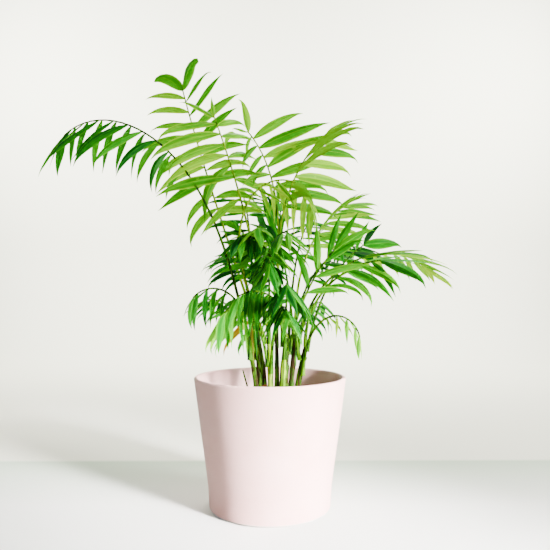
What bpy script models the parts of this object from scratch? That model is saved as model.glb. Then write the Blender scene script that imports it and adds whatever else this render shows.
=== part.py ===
"""Parlour palm in a plain round pot: pot, soil, nine short canes and their feather fronds.

Metres, +Z up. The origin is the centre of the pot's flat underside. The crown's wide side runs
along X, and -Y is the side it is seen from.
"""

import math
import random
from dataclasses import dataclass

import bmesh
import bpy
from mathutils import Matrix, Vector
from mathutils.bvhtree import BVHTree

# Clearance between pieces that touch on the real plant
GAP = 0.0003

# Pot
POT_HEIGHT = 0.140
RIM_RADIUS = 0.0825
FOOT_RADIUS = 0.0655
HIP_RADIUS = 0.0672
HIP_HEIGHT = 0.027
WALL = 0.0045
FLOOR = 0.006
FOOT_ROUND = 0.003
POT_SIDES = 40

# Soil
SOIL_TOP = 0.117
SOIL_SIDES = 32

# Canes
CANE_SIDES = 7
CANE_RINGS = 4
CANE_TIP_SHARE = 0.66
CANE_FLARE = 1.28
FLARE_SHARE = 0.25  # share of a cane's height that its flare takes
FLARE_RING = 0.10
CANE_DRIFT = 0.4  # a cane leans this share of its lean at the foot, and all of it at the tip

# Fronds
RIB_FOOT = 0.0017
RIB_TIP = 0.0007
RIB_TAPER = 0.7
RIB_SIDES = 4
RIB_RINGS = 9
STEPS_PER_RING = 4
SEAT_SHARE = 0.9  # a side frond's foot stands this share of the cane's radius out from its middle
FOOT_SHARE = 0.7  # and this share of its own radius further
RIB_ROOM = 1.4  # gaps kept round a rib while its place is sought
RIB_TURNS = (0, 8, -8, 16, -16, 24, -24, 34, -34)
RIB_TILTS = (0, 3, 6)
SLACKS = 12
SLACK_STEP = 0.0001

# Leaflets
LEAF_THICK = 0.0135
LEAST_THICK = 0.0008
LEAF_OUTLINE = ((0.0, 0.02), (0.15, 0.62), (0.42, 1.0), (0.74, 0.66), (1.0, 0.02))
FIRST_LEVEL = 0.4
STAGGER = 0.12  # offset between the two leaflets of a pair, as a share of the pairs' distance
BLADE_SHARE = 0.97
END_PLACE = 0.992
END_SPREAD = 0.42
END_DROOP = 0.6
SPREAD_STRAY = 7.0
SHORT_SHARE = 0.72  # length of the first and last leaflets against the longest
FULLEST = 0.9  # below 1, the longest leaflets stand a little below the middle
SIZES = (0.86, 1.08)
DROOP_LOW = 1.3
DROOP_FALL = 0.6
DROOPS = (0.6, 1.4)
TWIST = 20.0
STRAIGHT = 0.001  # a bend below this is drawn as a straight line
PLUMB = 0.05  # a leaflet closer to plumb than this bends about its own width
SHORTEST_EDGE = 0.000001
CLEARANCE = 0.0006
TRIES = 14  # each try strays further from the plan, and after its patience also shrinks
STRAY_STEP = 3.0
BEND_STRAY = 1.5
PATIENCE = 5
SHRINK = 0.3
SEED = 40

# Each cane: x and y of its foot, the way it leans, how far, its height and its foot's radius
CANES = {
    "cane_1": (-0.014, -0.012, 200, 9, 0.060, 0.0036),
    "cane_2": (-0.005, 0.010, 170, 8, 0.075, 0.0036),
    "cane_3": (0.001, -0.014, 230, 3, 0.070, 0.0038),
    "cane_4": (0.008, 0.014, 100, 4, 0.085, 0.0033),
    "cane_5": (0.013, -0.010, 330, 4, 0.065, 0.0042),
    "cane_6": (0.023, 0.008, 20, 5, 0.070, 0.0036),
    "cane_7": (0.029, -0.008, 350, 10, 0.055, 0.0040),
    "cane_8": (-0.011, 0.028, 140, 8, 0.065, 0.0036),
    "cane_9": (0.018, 0.027, 70, 8, 0.060, 0.0036),
}

# Dead stalk beside cane 1: x, y, the way it leans, how far, length and radius
STUB = (-0.0205, -0.0125, 195, 16, 0.032, 0.0011)
STUB_SIDES = 5
STUB_TAPER = (1.0, 0.9, 0.5)


@dataclass
class Frond:
    """One frond as it is grown: where it starts, how its rib runs and how its leaflets are set."""

    cane: str
    share: float  # height of its start on the cane, 1 at the tip
    heading: float  # degrees from +X, the way it leans
    lean: float  # degrees from upright at the start
    arch: float  # degrees that it bends over by its tip
    power: float  # where the bend sets in: 1 evenly, 3 near the tip
    stalk: float  # bare length below the leaflets
    blade: float  # length with leaflets
    pairs: int
    leaf: float  # longest leaflet
    sweep: float = 0.0  # degrees that the heading turns by its tip
    roll: float = 0.0  # degrees that the blade is turned about its rib
    spread: float = 58.0  # degrees between rib and leaflet at mid blade
    lift: float = 8.0  # degrees that leaflets stand above the blade, or hang below it
    droop: float = 35.0  # degrees that a leaflet bends down along its length
    slim: float = 0.13  # width of a leaflet as a share of its length
    tip: float = 0.8  # length of the two end leaflets as a share of the longest
    fan: float = 18.0  # degrees by which the lowest leaflets spread more, and the highest less
    uneven: float = 0.0  # share by which leaflets are longer on the rib's left than on its right
    end: float = 1.3  # width of the two end leaflets against the others
    green: str = "deep"


FRONDS = {
    "tall_left": Frond("cane_2", 1.00, 167, 19, -4, 2.3, 0.133, 0.156, 9, 0.072,
        sweep=4, roll=-100, spread=71, lift=6, droop=38, slim=0.17, tip=0.60, fan=30, uneven=-0.02,
        end=2.00, green="lime"),
    "tall_front": Frond("cane_3", 1.00, -183, 9, 12, 1.2, 0.142, 0.103, 8, 0.083,
        sweep=-10, roll=-43, spread=82, lift=-13, droop=45, slim=0.15, tip=0.46, fan=11, uneven=0.14,
        green="lime"),
    "far_left": Frond("cane_1", 1.00, -151, 14, 105, 2.4, 0.195, 0.175, 9, 0.071,
        sweep=-59, roll=4, lift=-49, droop=43, slim=0.17, fan=24, uneven=0.05),
    "high_right": Frond("cane_5", 1.00, -10, -10, 61, 1.6, 0.138, 0.110, 6, 0.087,
        sweep=45, roll=145, spread=53, lift=37, droop=21, slim=0.17, tip=0.49, fan=26, uneven=-0.09,
        green="lime"),
    "crown": Frond("cane_4", 1.00, -163, -3, 44, 2.7, 0.145, 0.075, 6, 0.067,
        sweep=-14, roll=-75, spread=86, lift=15, droop=28, slim=0.18, tip=0.46, fan=-6, uneven=-0.34,
        green="lime"),
    "over": Frond("cane_3", 0.85, 39, -24, 194, 2.6, 0.171, 0.085, 7, 0.058,
        sweep=-21, roll=-8, spread=61, lift=-43, tip=0.60, fan=23, uneven=0.09, green="lime"),
    "dark_fan": Frond("cane_6", 0.85, 102, 18, 51, 1.9, 0.103, 0.077, 3, 0.062,
        sweep=10, roll=73, spread=56, lift=14, droop=23, slim=0.27, tip=0.90, fan=-3, uneven=-0.01),
    "comb": Frond("cane_6", 1.00, 27, -2, 65, 1.3, 0.097, 0.077, 9, 0.058,
        sweep=5, roll=112, spread=37, lift=43, droop=25, slim=0.11, tip=0.74, fan=20, uneven=-0.16,
        green="lime"),
    "mid_right": Frond("cane_7", 1.00, 1, -3, 92, 1.0, 0.068, 0.071, 5, 0.067,
        sweep=-41, roll=35, spread=39, lift=-18, droop=42, slim=0.14, tip=0.90, fan=-5, uneven=-0.08,
        green="fresh"),
    "far_right": Frond("cane_6", 0.70, -6, 8, 117, 1.3, 0.128, 0.089, 7, 0.056,
        sweep=24, roll=-32, spread=37, lift=-29, droop=21, slim=0.12, tip=0.58, fan=30, uneven=-0.24,
        green="fresh"),
    "young_right": Frond("cane_7", 0.90, 40, 14, 45, 1.2, 0.100, 0.050, 2, 0.057,
        sweep=-13, roll=88, spread=53, lift=10, droop=21, slim=0.21, fan=11, uneven=-0.20),
    "low_right": Frond("cane_7", 0.45, -44, 6, 160, 1.8, 0.070, 0.056, 4, 0.030,
        spread=50, lift=-40, slim=0.15, green="fresh"),
    "front_right": Frond("cane_7", 0.75, -136, 12, 106, 1.6, 0.060, 0.070, 6, 0.056,
        spread=56, lift=-40, droop=45, slim=0.15, green="fresh"),
    "low_left": Frond("cane_1", 0.70, -121, 5, 132, 2.0, 0.066, 0.058, 5, 0.041,
        sweep=-31, roll=-20, spread=63, lift=-38, droop=56, slim=0.16, tip=0.70, fan=28, uneven=0.17),
    "front_left": Frond("cane_3", 0.50, -121, 14, 100, 1.5, 0.048, 0.066, 6, 0.056,
        spread=60, lift=-58, droop=40, slim=0.19, green="fresh"),
    "front_middle": Frond("cane_5", 0.85, -128, 0, 104, 2.2, 0.082, 0.072, 6, 0.046,
        spread=60, lift=-50, droop=40, slim=0.20),
    "front_high": Frond("cane_4", 0.80, -104, 4, 96, 2.0, 0.080, 0.074, 7, 0.056,
        lift=-35, droop=42, slim=0.20, green="fresh"),
    "front_near": Frond("cane_5", 0.65, -84, 10, 96, 1.5, 0.066, 0.066, 6, 0.056,
        sweep=-10, lift=-38, droop=45, slim=0.19),
    "front_center": Frond("cane_3", 0.85, -90, 6, 112, 2.0, 0.054, 0.076, 6, 0.052,
        spread=60, lift=-46, droop=42, slim=0.20),
    "front_low": Frond("cane_3", 0.40, -80, 12, 100, 1.5, 0.066, 0.060, 6, 0.046,
        lift=-42, droop=45, slim=0.19),
    "front_fill_left": Frond("cane_1", 0.85, -62, 5, 92, 1.9, 0.088, 0.078, 6, 0.054,
        sweep=-6, lift=-40, droop=42, green="fresh"),
    "heart": Frond("cane_4", 0.60, 84, 4, 30, 1.6, 0.085, 0.085, 5, 0.058,
        roll=70, spread=50, lift=5, droop=30, slim=0.24),
    "back_high": Frond("cane_8", 1.00, 100, 8, 66, 1.5, 0.125, 0.115, 7, 0.062,
        spread=60, lift=-5, droop=40, slim=0.16),
    "back_middle": Frond("cane_9", 0.85, 74, 10, 76, 1.4, 0.115, 0.120, 7, 0.062,
        spread=60, lift=-10, droop=42, slim=0.16),
    "back_left": Frond("cane_8", 0.80, 116, 10, 88, 1.4, 0.080, 0.100, 7, 0.056,
        sweep=-6, spread=56, lift=-20, droop=45, slim=0.16),
    "back_right": Frond("cane_9", 0.70, 38, 8, 80, 1.4, 0.090, 0.100, 7, 0.056,
        lift=-20, droop=42, slim=0.15),
    "back_low": Frond("cane_9", 0.50, 105, 14, 104, 1.4, 0.065, 0.090, 6, 0.052,
        lift=-30, droop=45, slim=0.16),
    "back_low_left": Frond("cane_8", 0.55, 150, 8, 92, 1.4, 0.050, 0.062, 6, 0.044,
        lift=-35, droop=45, slim=0.16),
    "back_low_right": Frond("cane_6", 0.45, 62, 12, 92, 1.4, 0.055, 0.066, 6, 0.044,
        lift=-35, droop=45, slim=0.16),
    "left_side": Frond("cane_2", 0.75, -120, 0, 44, 2.0, 0.074, 0.058, 5, 0.042,
        roll=-10, lift=-45, droop=45, slim=0.20),
    "rise_right": Frond("cane_5", 0.78, -14, 12, 30, 1.4, 0.060, 0.060, 3, 0.062,
        roll=78, spread=34, lift=0, droop=18, slim=0.17, green="fresh"),
}

LEAF_GREENS = {
    "deep": (0.035, 0.13, 0.02, 1.0),
    "fresh": (0.16, 0.36, 0.03, 1.0),
    "lime": (0.32, 0.52, 0.05, 1.0),
}


def clear_scene():
    for thing in list(bpy.data.objects):
        bpy.data.objects.remove(thing, do_unlink=True)


def finish_material(name, color, roughness):
    material = bpy.data.materials.new(name)
    material.use_nodes = True
    shader = material.node_tree.nodes["Principled BSDF"]
    shader.inputs["Base Color"].default_value = color
    shader.inputs["Roughness"].default_value = roughness
    return material


def object_from(name, bm, material):
    bmesh.ops.recalc_face_normals(bm, faces=bm.faces)
    mesh = bpy.data.meshes.new(name)
    bm.to_mesh(mesh)
    bm.free()
    piece = bpy.data.objects.new(name, mesh)
    bpy.context.scene.collection.objects.link(piece)
    mesh.materials.append(material)
    return piece


def heading_vector(heading, tilt):
    turn, lean = math.radians(heading), math.radians(tilt)
    across = math.sin(lean)
    return Vector((across * math.cos(turn), across * math.sin(turn), math.cos(lean)))


def turned(name, outline, sides, material):
    """A closed solid turned from (radius, height) points, first and last on its flat ends."""
    bm = bmesh.new()
    verts = [bm.verts.new((radius, 0, height)) for radius, height in outline]
    edges = [bm.edges.new(pair) for pair in zip(verts, verts[1:])]
    bmesh.ops.spin(bm, geom=verts + edges, cent=(0, 0, 0), axis=(0, 0, 1), dvec=(0, 0, 0),
                   angle=2 * math.pi, steps=sides, use_merge=True)
    bmesh.ops.holes_fill(bm, edges=[edge for edge in bm.edges if edge.is_boundary], sides=0)
    piece = object_from(name, bm, material)
    piece.data.shade_smooth()
    piece.data.set_sharp_from_angle(angle=math.radians(40))
    return piece


def arc(center, radius, start, end, steps):
    angles = [math.radians(start + (end - start) * step / steps) for step in range(steps + 1)]
    return [(center[0] + radius * math.cos(a), center[1] + radius * math.sin(a)) for a in angles]


def wall_radius(height):
    """Outer radius of the pot's straight side at a height above its hip."""
    return HIP_RADIUS + (RIM_RADIUS - HIP_RADIUS) * (height - HIP_HEIGHT) / (POT_HEIGHT - HIP_HEIGHT)


def make_pot():
    lip = WALL / 2
    outline = arc((FOOT_RADIUS - FOOT_ROUND, FOOT_ROUND), FOOT_ROUND, -90, 0, 2)
    outline += [(HIP_RADIUS, HIP_HEIGHT)]
    outline += arc((RIM_RADIUS - lip, POT_HEIGHT - lip), lip, 0, 180, 4)
    outline += [(wall_radius(HIP_HEIGHT) - WALL, HIP_HEIGHT), (FOOT_RADIUS - WALL, FLOOR)]
    return turned("pot", outline, POT_SIDES, finish_material("pale_ceramic", (0.82, 0.70, 0.68, 1), 0.5))


def make_soil():
    fit = (WALL + GAP) / math.cos(math.pi / POT_SIDES) + GAP
    outline = [
        (FOOT_RADIUS - fit, FLOOR + GAP),
        (HIP_RADIUS - fit, HIP_HEIGHT),
        (wall_radius(SOIL_TOP) - fit, SOIL_TOP),
    ]
    return turned("soil", outline, SOIL_SIDES, finish_material("potting_soil", (0.03, 0.02, 0.013, 1), 0.95))


def tube(bm, centers, radii, sides, ways):
    """A lofted tube with flat ends; its rings stay square to the line, with a side facing each way."""
    rings = []
    for index, center in enumerate(centers):
        before, after = centers[max(index - 1, 0)], centers[min(index + 1, len(centers) - 1)]
        along = (after - before).normalized()
        over = ways[index].cross(along).normalized()
        side = along.cross(over)
        verts = []
        for step in range(sides):
            angle = 2 * math.pi * (step + 0.5) / sides
            outward = math.cos(angle) * side + math.sin(angle) * over
            verts.append(bm.verts.new(center + radii[index] * outward))
        rings.append([bm.edges.new((verts[step - 1], verts[step])) for step in range(sides)])
    for lower, upper in zip(rings, rings[1:]):
        bmesh.ops.bridge_loops(bm, edges=lower + upper)
    bmesh.ops.holes_fill(bm, edges=rings[0] + rings[-1], sides=0)
    bmesh.ops.triangulate(bm, faces=bm.faces)
    bmesh.ops.recalc_face_normals(bm, faces=bm.faces)


def cane_center(name, share):
    """The middle of a cane at a share of its height: it starts upright and leans out evenly."""
    x, y, heading, lean, height, _ = CANES[name]
    foot = Vector((x, y, SOIL_TOP + GAP))
    drift = height * math.sin(math.radians(lean)) * share * (CANE_DRIFT + (1 - CANE_DRIFT) * share)
    turn = math.radians(heading)
    return foot + Vector((drift * math.cos(turn), drift * math.sin(turn), height * share))


def cane_radius(name, share):
    """Slight flare at the foot, then an even taper to the tip."""
    flare = 1 + (CANE_FLARE - 1) * max(0.0, 1 - share / FLARE_SHARE)
    return CANES[name][5] * flare * (1 - (1 - CANE_TIP_SHARE) * share)


def cane_mesh(name):
    shares = [0.0] + [(step + 1) / CANE_RINGS for step in range(CANE_RINGS)]
    shares.insert(1, FLARE_RING)
    bm = bmesh.new()
    centers = [cane_center(name, share) for share in shares]
    radii = [cane_radius(name, share) for share in shares]
    tube(bm, centers, radii, CANE_SIDES, [Vector((1, 0, 0))] * len(centers))
    for vert in bm.verts:
        vert.co.z = max(vert.co.z, SOIL_TOP + GAP)
    return bm


def stub_mesh():
    x, y, heading, lean, length, radius = STUB
    foot = Vector((x, y, SOIL_TOP + GAP))
    along = heading_vector(heading, lean)
    bm = bmesh.new()
    centers = [foot + along * length * share for share in (0.0, 0.5, 1.0)]
    radii = [radius * size for size in STUB_TAPER]
    tube(bm, centers, radii, STUB_SIDES, [Vector((0, 1, 0))] * len(centers))
    for vert in bm.verts:
        if vert.co.z < foot.z + radius:
            vert.co.z = foot.z
    return bm


class Rib:
    """The curved midrib of one frond: where it is, which way it runs and where its sides face."""

    def __init__(self, frond, turn=0.0, tilt=0.0, slack=0.0):
        self.frond = frond
        self.slack = slack
        self.heading = frond.heading + turn
        self.lean = frond.lean + tilt
        self.length = frond.stalk + frond.blade
        self.root = self.find_root()
        fine = STEPS_PER_RING * RIB_RINGS
        points = [self.root]
        for step in range(fine):
            points.append(points[-1] + self.direction((step + 0.5) / fine) * self.length / fine)
        self.points = points[::STEPS_PER_RING]

    def find_root(self):
        cane, share = self.frond.cane, self.frond.share
        center = cane_center(cane, share)
        if share == 1.0:
            return center + Vector((0, 0, GAP + self.slack))
        side = heading_vector(self.heading + (180 if self.lean < 0 else 0), 90)
        reach = SEAT_SHARE * cane_radius(cane, share) + FOOT_SHARE * RIB_FOOT + GAP + self.slack
        return center + side * reach

    def direction(self, share):
        frond = self.frond
        bend = frond.arch * share ** frond.power
        return heading_vector(self.heading + frond.sweep * share, self.lean + bend)

    def at(self, share):
        place = min(max(share, 0.0), 1.0) * RIB_RINGS
        index = min(int(place), RIB_RINGS - 1)
        return self.points[index].lerp(self.points[index + 1], place - index)

    def side(self, share):
        turn = math.radians(self.heading + self.frond.sweep * share)
        flat = Vector((-math.sin(turn), math.cos(turn), 0))
        return Matrix.Rotation(math.radians(self.frond.roll), 3, self.direction(share)) @ flat

    def mesh(self, grow=0.0):
        shares = [step / RIB_RINGS for step in range(RIB_RINGS + 1)]
        radii = [RIB_FOOT + (RIB_TIP - RIB_FOOT) * share ** RIB_TAPER + grow for share in shares]
        bm = bmesh.new()
        tube(bm, self.points, radii, RIB_SIDES, [self.side(share) for share in shares])
        return bm


class Leaflet:
    """One leaflet's place: it leaves the rib at its own angle and bends down in an even arc."""

    def __init__(self, rib, share, side_sign, spread, length, droop, twist):
        frond = rib.frond
        slim = frond.slim * (frond.end if share == END_PLACE else 1.0)
        along = rib.direction(share)
        self.upper = along.cross(rib.side(share))
        lift, angle = math.radians(frond.lift), math.radians(spread)
        outward = rib.side(share) * side_sign * math.cos(lift) + self.upper * math.sin(lift)
        self.root = rib.at(share)
        self.way = (along * math.cos(angle) + outward * math.sin(angle)).normalized()
        self.length = length
        self.droop = math.radians(droop)
        self.half = length * slim / 2
        width_way = (along - along.dot(self.way) * self.way).normalized()
        self.width_way = Matrix.Rotation(math.radians(twist), 3, self.way) @ width_way
        axis = self.way.cross(Vector((0, 0, -1)))
        self.axis = axis.normalized() if axis.length > PLUMB else self.width_way

    def center(self, station):
        bend = self.droop * station
        down = self.axis.cross(self.way)
        if abs(bend) < STRAIGHT:
            return self.root + self.way * self.length * station
        reach = self.length * station / bend
        return self.root + reach * (math.sin(bend) * self.way + (1 - math.cos(bend)) * down)

    def mesh(self, grow=0.0):
        """A slim three-edged blade from a point inside the rib to its own sharp tip."""
        thick = max(self.length * LEAF_THICK, LEAST_THICK) + 2 * grow
        bm = bmesh.new()
        rings = []
        for station, size in LEAF_OUTLINE:
            turn = Matrix.Rotation(self.droop * station, 3, self.axis)
            across = turn @ self.width_way
            ridge = across.cross(turn @ self.way)
            if ridge.dot(self.upper) < 0:
                ridge = -ridge
            place = self.center(station)
            corners = (
                place + across * (self.half + grow) * size - ridge * grow,
                place - across * (self.half + grow) * size - ridge * grow,
                place + ridge * thick * size,
            )
            verts = [bm.verts.new(corner) for corner in corners]
            rings.append((verts, [bm.edges.new((verts[k - 1], verts[k])) for k in range(3)], place))
        for lower, upper in zip(rings, rings[1:]):
            bmesh.ops.bridge_loops(bm, edges=lower[1] + upper[1])
        for verts, _, tip in (rings[0], rings[-1]):
            bmesh.ops.pointmerge(bm, verts=verts, merge_co=tip)
        bmesh.ops.triangulate(bm, faces=bm.faces)
        bmesh.ops.recalc_face_normals(bm, faces=bm.faces)
        return bm


def tree_of(bm):
    tree = BVHTree.FromBMesh(bm)
    bm.free()
    return tree


def clear_of(tree, others):
    return not any(tree.overlap(other) for other in others)


def settle_ribs(solids):
    """Each rib a gap from its cane, turned or leaned a little where others are in its way."""
    ribs = {}
    taken = list(solids)
    slacks = [SLACK_STEP * step for step in range(SLACKS)]
    settings = [(turn, tilt, slack) for tilt in RIB_TILTS for turn in RIB_TURNS for slack in slacks]
    for name, frond in FRONDS.items():
        for turn, tilt, slack in settings:
            rib = Rib(frond, turn, tilt, slack)
            if clear_of(tree_of(rib.mesh(RIB_ROOM * GAP)), taken):
                break
        ribs[name] = rib
        taken.append(tree_of(rib.mesh(GAP)))
    return ribs


def leaf_plan(rib, chance):
    """Every leaflet of a blade: share along the rib, side, spread, length and droop."""
    frond = rib.frond
    start = frond.stalk / rib.length
    plan = []
    for index in range(frond.pairs):
        level = (index + FIRST_LEVEL) / frond.pairs
        fullness = SHORT_SHARE + (1 - SHORT_SHARE) * math.sin(math.pi * level ** FULLEST)
        for side_sign in (-1, 1):
            place = start + (1 - start) * (level + side_sign * STAGGER / frond.pairs) * BLADE_SHARE
            spread = frond.spread + frond.fan * (1 - 2 * level) + chance.uniform(-SPREAD_STRAY, SPREAD_STRAY)
            size = frond.leaf * fullness * chance.uniform(*SIZES) * (1 + side_sign * frond.uneven)
            droop = frond.droop * (DROOP_LOW - DROOP_FALL * level) * chance.uniform(*DROOPS)
            plan.append((place, side_sign, spread, size, droop))
    for side_sign in (-1, 1):
        size = frond.leaf * frond.tip * (1 + side_sign * frond.uneven)
        plan.append((END_PLACE, side_sign, frond.spread * END_SPREAD, size, frond.droop * END_DROOP))
    return plan


def settle_leaves(rib, chance, others):
    """Leaflets that are clear of the other fronds; one with no room after its tries is skipped."""
    leaves = []
    for place, side_sign, spread, size, droop in leaf_plan(rib, chance):
        for attempt in range(TRIES):
            stray = STRAY_STEP * attempt
            angle = spread + chance.uniform(-stray, stray)
            bend = droop + chance.uniform(-stray, stray) * BEND_STRAY
            twist = chance.uniform(-TWIST, TWIST) + chance.uniform(-stray, stray)
            length = size * (1 - SHRINK * max(0, attempt - PATIENCE) / TRIES)
            leaflet = Leaflet(rib, place, side_sign, angle, length, bend, twist)
            if clear_of(tree_of(leaflet.mesh(CLEARANCE / 2)), others):
                leaves.append(leaflet)
                break
    return leaves


def keep_main_body(mesh):
    """Drops loose scraps and the walls of hollows that fusing has sealed."""
    bm = bmesh.new()
    bm.from_mesh(mesh)
    waiting = set(bm.verts)
    bodies = []
    while waiting:
        body = {waiting.pop()}
        edge_of_growth = list(body)
        while edge_of_growth:
            vert = edge_of_growth.pop()
            for edge in vert.link_edges:
                other = edge.other_vert(vert)
                if other in waiting:
                    waiting.remove(other)
                    body.add(other)
                    edge_of_growth.append(other)
        bodies.append(body)
    bodies.sort(key=len)
    scraps = [vert for body in bodies[:-1] for vert in body]
    bmesh.ops.delete(bm, geom=scraps, context="VERTS")
    bm.to_mesh(mesh)
    bm.free()


def is_sound(mesh):
    """Whether a fused mesh is closed at every corner and has no edge of almost no length."""
    bm = bmesh.new()
    bm.from_mesh(mesh)
    sound = all(vert.is_manifold for vert in bm.verts)
    sound = sound and min(edge.calc_length() for edge in bm.edges) > SHORTEST_EDGE
    bm.free()
    return sound


def union(name, parts, material):
    """One closed solid from a rib and its leaflets."""
    group = bpy.data.collections.new(name + "_leaflets")
    blades = [object_from(name + "_leaflet", bm, material) for bm in parts[1:]]
    for blade in blades:
        bpy.context.scene.collection.objects.unlink(blade)
        group.objects.link(blade)
    piece = object_from(name, parts[0], material)
    joint = piece.modifiers.new("leaflets", "BOOLEAN")
    joint.operation = "UNION"
    joint.operand_type = "COLLECTION"
    joint.collection = group
    for solver in ("EXACT", "MANIFOLD"):
        joint.solver = solver
        graph = bpy.context.evaluated_depsgraph_get()
        whole = bpy.data.meshes.new_from_object(piece.evaluated_get(graph))
        keep_main_body(whole)
        if is_sound(whole):
            break
    piece.modifiers.clear()
    piece.data = whole
    for blade in blades:
        bpy.data.objects.remove(blade, do_unlink=True)
    bpy.data.collections.remove(group)
    return piece


def make_fronds(solids, greens):
    ribs = settle_ribs(solids)
    rib_trees = {name: tree_of(rib.mesh(CLEARANCE / 2)) for name, rib in ribs.items()}
    leaf_trees = {}
    for number, (name, rib) in enumerate(ribs.items()):
        others = list(solids) + [tree for key, tree in rib_trees.items() if key != name]
        others += list(leaf_trees.values())
        leaves = settle_leaves(rib, random.Random(SEED + number), others)
        parts = [rib.mesh()] + [leaflet.mesh() for leaflet in leaves]
        piece = union("frond_" + name, parts, greens[rib.frond.green])
        bm = bmesh.new()
        bm.from_mesh(piece.data)
        leaf_trees[name] = tree_of(bm)


def main():
    clear_scene()
    pot = make_pot()
    make_soil()
    bark = finish_material("green_cane", (0.10, 0.19, 0.04, 1), 0.6)
    dead = finish_material("dry_stalk", (0.23, 0.14, 0.06, 1), 0.8)
    for name in CANES:
        object_from(name, cane_mesh(name), bark)
    object_from("dry_stub", stub_mesh(), dead)
    solids = [tree_of(cane_mesh(name)) for name in CANES]
    solids.append(tree_of(stub_mesh()))
    bm = bmesh.new()
    bm.from_mesh(pot.data)
    solids.append(tree_of(bm))
    greens = {key: finish_material("leaf_" + key, color, 0.45) for key, color in LEAF_GREENS.items()}
    make_fronds(solids, greens)


main()
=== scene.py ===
"""A parlour palm in a plain round pot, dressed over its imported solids."""

import math
import random
from dataclasses import dataclass

import bmesh
import bpy
import numpy as np
from mathutils import Matrix, Vector, noise


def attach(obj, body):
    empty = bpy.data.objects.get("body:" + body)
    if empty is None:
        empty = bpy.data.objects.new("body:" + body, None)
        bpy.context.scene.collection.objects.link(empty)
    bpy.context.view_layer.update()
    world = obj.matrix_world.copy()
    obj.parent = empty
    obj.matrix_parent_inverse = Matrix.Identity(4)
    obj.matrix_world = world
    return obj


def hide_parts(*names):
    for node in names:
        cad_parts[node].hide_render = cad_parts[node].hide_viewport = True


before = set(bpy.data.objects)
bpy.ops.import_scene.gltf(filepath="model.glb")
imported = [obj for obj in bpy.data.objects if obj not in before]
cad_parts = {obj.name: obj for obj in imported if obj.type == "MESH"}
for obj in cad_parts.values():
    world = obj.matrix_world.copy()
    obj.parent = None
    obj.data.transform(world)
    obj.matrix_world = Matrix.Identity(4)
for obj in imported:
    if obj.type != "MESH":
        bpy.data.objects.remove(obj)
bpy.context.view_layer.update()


# The camera
# It stands in front of the plant at the height of the lower leaves and looks slightly up,
# as in the photograph: a normal lens, about two thirds of a metre from the canes.
FOCUS_PX = 600.0
FRAME_PX = 550.0
SENSOR_MM = 36.0
CAMERA_PLACE = (0.0, -0.66, 0.228)
LOOK_UP_PX = 20.3
LOOK_RIGHT_PX = 5.0

camera = bpy.data.objects.new("camera", bpy.data.cameras.new("camera"))
bpy.context.scene.collection.objects.link(camera)
camera.data.sensor_width = SENSOR_MM
camera.data.lens = SENSOR_MM * FOCUS_PX / FRAME_PX
camera.location = CAMERA_PLACE
tilt_up = math.atan2(LOOK_UP_PX, FOCUS_PX)
turn_right = math.atan2(LOOK_RIGHT_PX, FOCUS_PX)
camera.rotation_euler = (math.pi / 2 + tilt_up, 0, -turn_right)
bpy.context.scene.camera = camera


# The floor, the wall and the light
# A pale grey-green table top that ends behind the pot, painted near white towards the front as painted light
# and darker at its back as painted shade, and a cream-white wall sweep far behind it.
# Daylight comes from the right and above, a softer light behind shines through the leaves, a low
# narrow one from the right lifts the pot, and two lamps beside the view whiten the wall.
TABLE_FRONT = 0.0
TABLE_BACK = 0.17
TABLE_EDGE = 0.012
# The table's colour at its front, with painted light, and at its back, with painted shade
TABLE_LIT_FRONT = (0.93, 0.94, 0.91)
TABLE_SHADED_BACK = (0.50, 0.61, 0.48)
WALL_PAINT = (0.835, 0.84, 0.73)
FLOOR_FRONT = -2.2
WALL_Y = 1.75
WALL_TOP = 3.2
SWEEP_RADIUS = 0.45
SWEEP_STEPS = 14
STAGE_HALF_WIDTH = 2.4
STAGE_CUTS = 3


def new_finish(name):
    """An empty material with its node tree and its main shader."""
    finish = bpy.data.materials.new(name)
    finish.use_nodes = True
    return finish, finish.node_tree, finish.node_tree.nodes["Principled BSDF"]


def add_node(tree, kind, links=(), **settings):
    """A node with its settings, inputs set by number or name, and links from other nodes' outputs."""
    made = tree.nodes.new("ShaderNode" + kind)
    values = settings.pop("values", {})
    for key, value in settings.items():
        setattr(made, key, value)
    for key, value in values.items():
        made.inputs[key].default_value = value
    for key, output in dict(links).items():
        tree.links.new(output, made.inputs[key])
    return made


def add_ramp(tree, factor, stops):
    """A colour ramp through (place, colour) stops."""
    ramp = add_node(tree, "ValToRGB", {"Fac": factor})
    line = ramp.color_ramp.elements
    while len(line) > 1:
        line.remove(line[-1])
    line[0].position, line[0].color = stops[0][0], (*stops[0][1], 1)
    for place, color in stops[1:]:
        line.new(place).color = (*color, 1)
    return ramp.outputs["Color"]


def add_bump(tree, shader, height, strength, distance, below=None):
    """A bump, on top of the one below it if there is one, and linked to the shader if one is named."""
    links = {"Height": height}
    if below is not None:
        links["Normal"] = below
    bump = add_node(tree, "Bump", links, values={"Strength": strength, "Distance": distance})
    if shader is not None:
        tree.links.new(bump.outputs["Normal"], shader.inputs["Normal"])
    return bump.outputs["Normal"]


def mix_colors(tree, factor, first, second):
    """A blend from a linked colour to another one, which is linked or fixed."""
    blend = add_node(tree, "Mix", data_type="RGBA")
    tree.links.new(factor, blend.inputs[0])
    tree.links.new(first, blend.inputs[6])
    if isinstance(second, tuple):
        blend.inputs[7].default_value = (*second, 1)
    else:
        tree.links.new(second, blend.inputs[7])
    return blend.outputs[2]


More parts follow.
